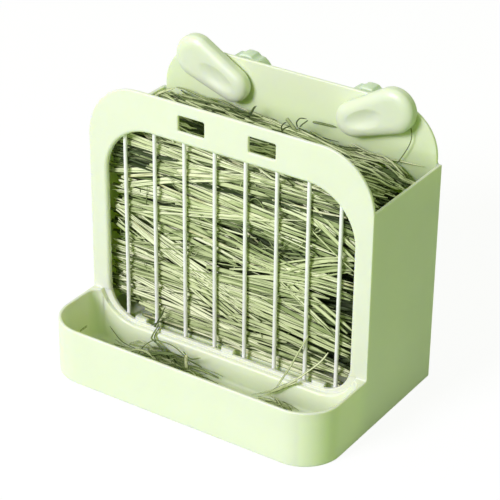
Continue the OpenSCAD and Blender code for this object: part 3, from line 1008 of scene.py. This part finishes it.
# Single stalks that stand out: their points, width, thickness and tone
STRANDS = [
    (on_y(2.2, (-46, 38), (-49.6, 30.8), (-54, 22), (-59.7, 15.5)), 0.7, 0.6, 0.14),
    (on_y(1.8, (-47, 34), (-51.5, 26), (-56.4, 15.5)), 0.8, 0.5, 0.06),
    (on_y(2.4, (-44, 31), (-52, 24.5), (-61.5, 17.2)), 0.6, 0.5, 0.05),
    ([(-50.5, 1.5, 24), (-51.5, -5, 18), (-49.5, -6, 16.5), (-41.9, -6, 12.9), (-33.4, -6.5, 8.8),
      (-15.4, -9, 5)], 1.1, 0.5, 0.24),
    ([(-49.5, 1.0, 23), (-49.8, -4.5, 17), (-40, -7, 10.5), (-27, -8, 6.5), (1.4, -9, 4.6)], 0.8, 0.6, 0.16),
    (on_y(-8, (-60.2, 3.4), (-55.7, 11.1), (-48, 18), (-41.6, 19.2), (-33, 19.1), (-25.7, 15.6),
          (-19.5, 10.5)), 0.7, 0.6, 0.25),
    ([(-57, -14, 3.6), (-52.8, -12, 7), (-40.8, -12, 13.3), (-29.1, -12, 16.5)], 2.6, 0.4, 0.24),
    ([(-22.2, -9.5, 17.4), (-21.9, -10, 12), (-21.1, -10.5, 6.5)], 2.5, 0.6, 0.98),
    ([(-25, -9, 18.5), (-19, -9.4, 15.6), (-11.5, -9, 18.6)], 0.8, 0.5, 0.2),
    (on_y(-3.2, (-85.9, 12.9), (-78, 5.6), (-70.6, 3.6), (-64, 3.1)), 0.5, 0.5, 0.25),
    ([(-95.3, -21.3, 15), (-95.3, -14.1, 15.4)], 1.3, 0.6, 0.55),
    ([(57, 3.8, 52), (52.6, 1, 40.8), (47.2, 0.2, 28.7), (45.4, -8, 21.4), (43, -9, 17)], 1.1, 0.8, 0.72),
    ([(71, 3.9, 45), (67.1, 1.5, 38.1), (56, -3, 26), (50.6, -3.4, 20.6), (37, -5, 10.5), (24.4, -7, 4)],
     1.3, 0.8, 0.80),
    ([(54, -3.0, 22), (46, -4, 16.5), (37, -6, 9.5)], 2.4, 0.4, 0.66),
    ([(-97, 60, 144), (-91, 60, 149.5), (-79, 60.5, 156)], 2.0, 0.5, 0.6),
    ([(-96, 57, 143), (-88, 58, 147), (-76, 59, 150)], 1.3, 0.7, 0.75),
    (on_y(66, (-31.5, 143), (-29.1, 146.7), (-26.2, 150.8), (-24.1, 154.7), (-22.3, 156.5)), 1.5, 0.8, 0.14),
    (on_y(60, (11.1, 153.5), (10.4, 156.6), (12.1, 159.3), (14.1, 160.4), (17.6, 160.8)), 0.8, 0.4, 0.08),
    (on_y(59.5, (12.9, 154.3), (14.9, 156.8), (17.7, 159.5), (18.7, 160.5)), 0.8, 0.5, 0.16),
    (on_y(58, (4.4, 158.6), (6.6, 156.5), (8.9, 154.5), (12.3, 151.5)), 2.2, 0.4, 0.48),
    (on_y(60, (0.9, 146.5), (-0.2, 150.8), (1.5, 153.5), (3.6, 155.1)), 0.8, 0.5, 0.10),
    (on_y(59.5, (-0.5, 147), (0.9, 149.1), (3.0, 151.3), (5.8, 152.7)), 1.0, 0.5, 0.12),
    (on_y(50, (19.5, 157.6), (31.7, 155.4), (44.3, 152.6), (54, 150.5)), 1.2, 0.8, 0.88),
    (on_y(75.2, (12.3, 151.6), (20.7, 152.3), (29.2, 152.6)), 1.5, 0.5, 0.27),
    (on_y(73.4, (80.6, 167), (81.4, 162), (80.2, 155.8), (75.3, 146), (70, 138)), 0.55, 0.5, 0.2),
    (on_y(74.4, (43.8, 140.7), (56.3, 141.2), (74.0, 142.9), (90.2, 143.9)), 1.2, 0.8, 0.84),
    ([(-20, 40, 148), (10, 36, 149.5), (36, 30, 149)], 1.4, 0.9, 0.9),
]


def trough_litter(hay):
    """The small pile in the trough, left of its middle, and a few bits at the right."""
    rng = hay.rng
    for centre, spread, count, lengths, height in PILES:
        for _ in range(count):
            x, y = rng.normal(centre[0], spread[0]), rng.normal(centre[1], spread[1])
            share = np.exp(-(((x - centre[0]) / spread[0] / 1.6) ** 2))
            z = TROUGH_FLOOR + 0.2 + rng.uniform(0, height * share)
            yaw, rise = rng.normal(-0.12, 0.4), rng.normal(0, 0.1)
            run = np.linspace(-0.5, 0.5, 9) * rng.uniform(*lengths)
            heading = unit((math.cos(yaw), math.sin(yaw), rise))
            path = run[:, None] * heading + (x, y, z)
            path[:, 2] += rng.normal(0, 2.5) * (1 - 4 * (run / run[-1] / 2) ** 2)
            path[:, 1] = np.clip(path[:, 1] + rng.normal(0, 3) * (run / 30) ** 2, *TROUGH_Y)
            path[:, 2] = np.maximum(path[:, 2], TROUGH_FLOOR)
            path = path[np.abs(path[:, 0]) < TROUGH_HALF]
            if len(path) < 3:
                continue
            width = rng.choice([rng.uniform(0.45, 0.9), rng.uniform(1.0, 1.9)], p=[0.7, 0.3])
            facing = (rng.normal(0, 0.4), -0.6, 1)
            hay.stalk(path, width, min(width, 0.6), facing, rng.normal(0, 1), tone=rng.uniform(0.15, 0.95))


def heap_crest(hay, seed, count, ends, pale_tones):
    """Crisp pale stalks and dark ones that lie over each other on the heap, between two ends in X. The dark
    ones are painted shade between the pale ones.
    """
    rng = np.random.default_rng(seed)
    for _ in range(count):
        x, y = rng.uniform(*ends), rng.uniform(12, 73)
        yaw, rise = rng.normal(-0.08, 0.22), rng.normal(-0.04, 0.07)
        run = np.linspace(-0.5, 0.5, 9) * rng.uniform(16, 46)
        heading = unit((math.cos(yaw), math.sin(yaw), rise))
        pale = rng.uniform() < 0.62
        depth = rng.uniform(-0.6, 1.6) if pale else rng.uniform(0.2, 3.0)
        path = run[:, None] * heading + (x, y, hay_top(x, y) - depth)
        path[:, 2] += rng.normal(0, 0.9) * (run / run[-1]) ** 2
        path = trimmed(path, HAY_LEFT, HAY_RIGHT, 9)
        if path is None:
            continue
        width = rng.uniform(0.8, 1.7)
        path = kept_in(path, width, top=False)
        path[:, 2] = np.minimum(path[:, 2], hay_top(path[:, 0], path[:, 1]) + 1.2)
        # The dark stalks, a little lower, are painted shade between the pale ones
        tone = rng.uniform(*pale_tones) if pale else rng.uniform(0.0, 0.2)
        # Painted light: stalks in the front panel's shade are made paler
        tone = min(tone + PAINTED_LIGHT_LIFT * (1 - smooth_step(*PAINTED_LIGHT_Y, y)), PALEST)
        facing = (rng.normal(0, 0.2), -0.4, 1)
        hay.stalk(path, width, width * 0.6, facing, rng.normal(0, 0.5), tone=tone)


def grille_wisps(hay):
    """Short thin wisps that hang on the grille's back."""
    rng = hay.rng
    for _ in range(WISPS):
        x, z = rng.uniform(-80, 80), rng.uniform(26, 148)
        angle = rng.uniform(-1.2, 1.2)
        run = np.linspace(-0.5, 0.5, 9) * rng.uniform(6, 26)
        path = run[:, None] * (math.cos(angle), 0, math.sin(angle)) + (x, WISP_Y, z)
        path[:, 2] += rng.normal(0, 1.6) * (2 * run / run[-1]) ** 2
        path[:, 1] += rng.uniform(-0.6, 0.6) * (run / run[-1])
        width = rng.uniform(0.4, 1.0)
        hay.stalk(path, width, width * 0.7, (0, -1, 0.1), 0.5, tone=rng.uniform(0.0, 0.9))


def hay_strands(material):
    """Loose stalks: some hang over the sill, some lie in the trough, some stick up at the top."""
    hay = Hay(47)
    for points, width, thickness, tone in STRANDS:
        path = smooth_path(points)
        path[:, 0] = np.clip(path[:, 0], HAY_LEFT + width / 2, HAY_RIGHT - width / 2)
        ahead = path[-1] - path[0]
        level = abs(ahead[0]) > abs(ahead[2]) * 0.2
        facing = (0.3, -0.8, 0.6) if level else (0.4, -0.9, 0.1)
        hay.stalk(path, width, thickness, facing, 0.6, tone=tone, taper=(0.5, 0.3))
    trough_litter(hay)
    for crest in CRESTS:
        heap_crest(hay, *crest)
    grille_wisps(hay)
    return hay.make("hay_strands", material)


def stage_floor():
    """A pale floor that shows as white, but for the object's soft shadow."""
    g = Graph("studio_floor")
    path = g.add("ShaderNodeLightPath")
    seen = g.math("MAXIMUM", path.outputs["Is Camera Ray"], path.outputs["Is Glossy Ray"])
    seen = g.math("MAXIMUM", seen, path.outputs["Is Transmission Ray"])
    tint = g.ramp(seen, [(0.0, FLOOR_TINT), (1.0, WHITE)])
    diffuse = g.add("ShaderNodeBsdfDiffuse", {"Color": tint})
    glow = g.add("ShaderNodeEmission", {"Color": (*WHITE, 1), "Strength": FLOOR_GLOW})
    mix = g.add("ShaderNodeMixShader", {"Fac": g.math("MULTIPLY", seen, FLOOR_GLOW_SHARE)})
    g.put(mix.inputs[1], diffuse.outputs[0])
    g.put(mix.inputs[2], glow.outputs[0])
    g.put(g.output.inputs["Surface"], mix.outputs[0])
    mesh = bpy.data.meshes.new("studio_floor")
    corners = [(x * FLOOR_REACH, y * FLOOR_REACH, 0) for x, y in ((-1, -1), (1, -1), (1, 1), (-1, 1))]
    mesh.from_pydata(corners, [], [(0, 1, 2, 3)])
    mesh.materials.append(g.material)
    floor = bpy.data.objects.new("studio_floor", mesh)
    bpy.context.scene.collection.objects.link(floor)


def studio_world():
    """A world that lights the object in a soft tint, and shows as white in the picture and in gloss."""
    world = bpy.data.worlds.new("studio")
    bpy.context.scene.world = world
    world.use_nodes = True
    tree = world.node_tree
    tinted = tree.nodes["Background"]
    tinted.inputs["Color"].default_value = (*WORLD_TINT, 1)
    tinted.inputs["Strength"].default_value = WORLD_STRENGTH
    white = tree.nodes.new("ShaderNodeBackground")
    white.inputs["Color"].default_value = (*WHITE, 1)
    path = tree.nodes.new("ShaderNodeLightPath")
    seen = tree.nodes.new("ShaderNodeMath")
    seen.operation = "MAXIMUM"
    tree.links.new(path.outputs["Is Camera Ray"], seen.inputs[0])
    tree.links.new(path.outputs["Is Glossy Ray"], seen.inputs[1])
    mix = tree.nodes.new("ShaderNodeMixShader")
    tree.links.new(seen.outputs[0], mix.inputs[0])
    tree.links.new(tinted.outputs[0], mix.inputs[1])
    tree.links.new(white.outputs[0], mix.inputs[2])
    tree.links.new(mix.outputs[0], tree.nodes["World Output"].inputs["Surface"])


def studio_lamps():
    """A large soft key from the front left, and a weak lamp above."""
    for name, place, size, power, colour in LAMPS:
        lamp = bpy.data.lights.new(name, "AREA")
        lamp.size = size
        lamp.energy = power
        lamp.color = colour
        holder = bpy.data.objects.new(name, lamp)
        bpy.context.scene.collection.objects.link(holder)
        holder.location = place
        aim = Vector(LAMP_AIM) - Vector(place)
        holder.rotation_euler = aim.to_track_quat("-Z", "Y").to_euler()


def photo_camera():
    """The camera of the photograph."""
    azimuth, elevation, roll = (math.radians(v) for v in (CAMERA_AZIMUTH, CAMERA_ELEVATION, CAMERA_ROLL))
    back = Vector((
        math.sin(azimuth) * math.cos(elevation),
        -math.cos(azimuth) * math.cos(elevation),
        math.sin(elevation),
    ))
    level = Vector((0, 0, 1)).cross(back).normalized()
    rise = back.cross(level)
    right = level * math.cos(roll) + rise * math.sin(roll)
    up = rise * math.cos(roll) - level * math.sin(roll)
    place = right * CAMERA_SLIDE[0] + up * CAMERA_SLIDE[1] + Vector(CAMERA_AIM) + back * CAMERA_DISTANCE
    data = bpy.data.cameras.new("photo_camera")
    data.lens = CAMERA_LENS
    data.sensor_width = CAMERA_SENSOR
    data.clip_start = CAMERA_CLIP * MM
    camera = bpy.data.objects.new("photo_camera", data)
    bpy.context.scene.collection.objects.link(camera)
    camera.matrix_world = Matrix.Translation(place * MM) @ Matrix((right, up, back)).transposed().to_4x4()
    bpy.context.scene.camera = camera


def build():
    # Painted bounce light inside the hay box and the trough
    painted_bounce = [(HAY_BOX_PAINTED_BOUNCE, LIME_PAINTED_BOUNCE_BOX), (TROUGH_PAINTED_BOUNCE, LIME_PAINTED_BOUNCE_TROUGH)]
    body_plastic = moulded_plastic("body_plastic", LIME, LIME_DEEP, 0.36, painted_bounce)
    ear_plastic = moulded_plastic("ear_plastic", EAR_LIME, EAR_LIME_DEEP, 0.34)
    clamp_plastic = moulded_plastic("clamp_plastic", CLAMP_LIME, CLAMP_LIME_DEEP, 0.38)
    wire = bright_wire("grille_wire")
    grass = dried_grass("hay")
    feeder_body(body_plastic)
    grille(wire)
    for side, name in ((-1, "left"), (1, "right")):
        ear(side, name, ear_plastic)
        clamp_disc(name, clamp_plastic)
        clamp_screw(name, clamp_plastic)
    hay_middle(grass)
    hay_heap(grass)
    hay_wall(grass)
    hay_strands(grass)


build()
stage_floor()
studio_world()
studio_lamps()
photo_camera()
bpy.context.scene.view_settings.view_transform = "Standard"
